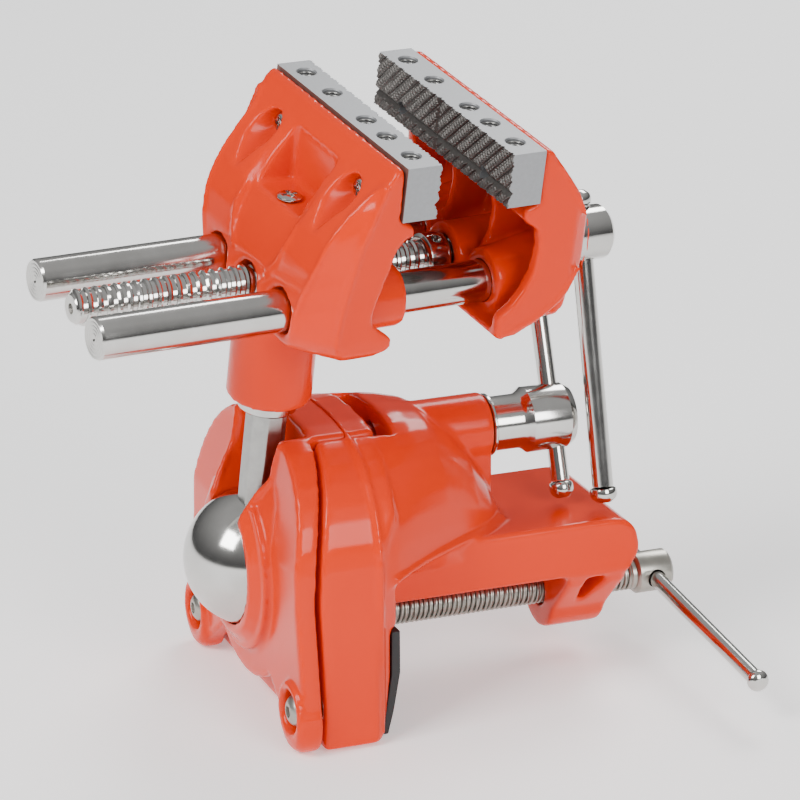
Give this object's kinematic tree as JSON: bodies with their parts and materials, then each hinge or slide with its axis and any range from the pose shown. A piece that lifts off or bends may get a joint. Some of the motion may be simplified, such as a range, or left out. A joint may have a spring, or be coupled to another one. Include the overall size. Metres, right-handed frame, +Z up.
{
  "type": "bench vise",
  "caption": "Clamp-on bench vise: jaws with grip plates on a ball that tilts, swivels and spins, locked by a bar-handled screw, held to a bench edge by a clamp screw.",
  "frame": {"origin": "centre of the flat face of the rubber pad that presses on the bench edge", "axes": "+Y from the pad towards the clamp screw handle, along the clamp screw; +X across the vise to its right as seen from the ball; +Z up the post, away from the pad's lower end"},
  "size_m": [0.1285, 0.196, 0.184],
  "materials": {
    "enamel": "glossy orange-red enamel on cast iron",
    "chrome": "bright plated steel, turned",
    "cast_steel": "cast and ground jaw plate with a cross-hatched gripping face",
    "zinc_steel": "dull zinc-plated steel",
    "rubber": "matt black moulded rubber",
    "brass": "plain machined, hidden inside the fixed jaw"
  },
  "bodies": {
    "clamp_base": {"clamp_body": "enamel", "socket_cover": "enamel", "cover_screw_left": "zinc_steel", "cover_screw_right": "zinc_steel", "lock_washer": "chrome", "bench_pad": "rubber"},
    "ball_seat": {"ball_seat": "zinc_steel"},
    "ball_stud": {"ball_stud": "chrome", "post_collar": "chrome"},
    "fixed_jaw": {"fixed_jaw": "enamel", "fixed_jaw_plate": "cast_steel", "fixed_plate_screw_left": "chrome", "fixed_plate_screw_right": "chrome", "spindle_nut": "brass", "nut_screw": "chrome"},
    "moving_jaw": {"moving_jaw": "enamel", "moving_jaw_plate": "cast_steel", "moving_plate_screw_left": "chrome", "moving_plate_screw_right": "chrome", "guide_rod_left": "chrome", "guide_rod_right": "chrome"},
    "spindle": {"spindle": "chrome", "spindle_collar": "chrome"},
    "main_bar": {"main_bar": "chrome", "main_bar_knob_top": "chrome", "main_bar_knob_end": "chrome"},
    "lock_screw": {"lock_screw": "chrome"},
    "lock_bar": {"lock_bar": "chrome", "lock_bar_knob_top": "chrome", "lock_bar_knob_end": "chrome"},
    "clamp_foot": {"clamp_foot": "zinc_steel"},
    "clamp_screw": {"clamp_screw": "zinc_steel"},
    "clamp_bar": {"clamp_bar": "chrome", "clamp_bar_knob_top": "chrome", "clamp_bar_knob_end": "chrome"}
  },
  "joints": [
    {"name": "ball_swivel", "type": "hinge", "parent": "clamp_base", "child": "ball_seat", "pos_m": [0, -0.029, 0.0176], "axis": [0, 1, 0], "range_deg": [-23, 3.4]},
    {"name": "ball_tilt", "type": "hinge", "parent": "ball_seat", "child": "ball_stud", "pos_m": [0, -0.029, 0.0176], "axis": [0.985, 0, -0.1728], "range_deg": [0, 88]},
    {"name": "head_spin", "type": "hinge", "parent": "ball_stud", "child": "fixed_jaw", "pos_m": [0, -0.029, 0.0176], "axis": [0.1726, 0.0509, 0.9837], "continuous": true},
    {"name": "jaw_slide", "type": "slide", "parent": "fixed_jaw", "child": "moving_jaw", "axis": [-0.1563, 0.9874, -0.0237], "range_m": [-0.0219, 0.038]},
    {"name": "spindle_turn", "type": "hinge", "parent": "moving_jaw", "child": "spindle", "pos_m": [-0.0001, 0.07329, 0.1029], "axis": [-0.1563, 0.9874, -0.0237], "range_deg": [-2640, 4570]},
    {"name": "main_bar_slide", "type": "slide", "parent": "spindle", "child": "main_bar", "axis": [-0.2159, -0.0107, 0.9764], "range_m": [0, 0.0664]},
    {"name": "lock_turn", "type": "hinge", "parent": "clamp_base", "child": "lock_screw", "pos_m": [0, 0.0646, 0.0482], "axis": [0, 1, 0], "range_deg": [-90, 90]},
    {"name": "lock_bar_slide", "type": "slide", "parent": "lock_screw", "child": "lock_bar", "axis": [-0.3457, 0, 0.9383], "range_m": [0, 0.009]},
    {"name": "clamp_slide", "type": "slide", "parent": "clamp_base", "child": "clamp_foot", "axis": [0, 1, 0], "range_m": [-0.0049, 0.046]},
    {"name": "clamp_turn", "type": "hinge", "parent": "clamp_foot", "child": "clamp_screw", "pos_m": [0, 0.0966, -0.0052], "axis": [0, 1, 0], "range_deg": [-1180, 11050]},
    {"name": "clamp_bar_slide", "type": "slide", "parent": "clamp_screw", "child": "clamp_bar", "axis": [0.9961, 0, -0.0881], "range_m": [-0.067, 0.008]}
  ],
  "couplings": [
    {"joint": "spindle_turn", "follows": "jaw_slide", "rad_per_m": 2094.4},
    {"joint": "clamp_turn", "follows": "clamp_slide", "rad_per_m": 4188.8}
  ]
}
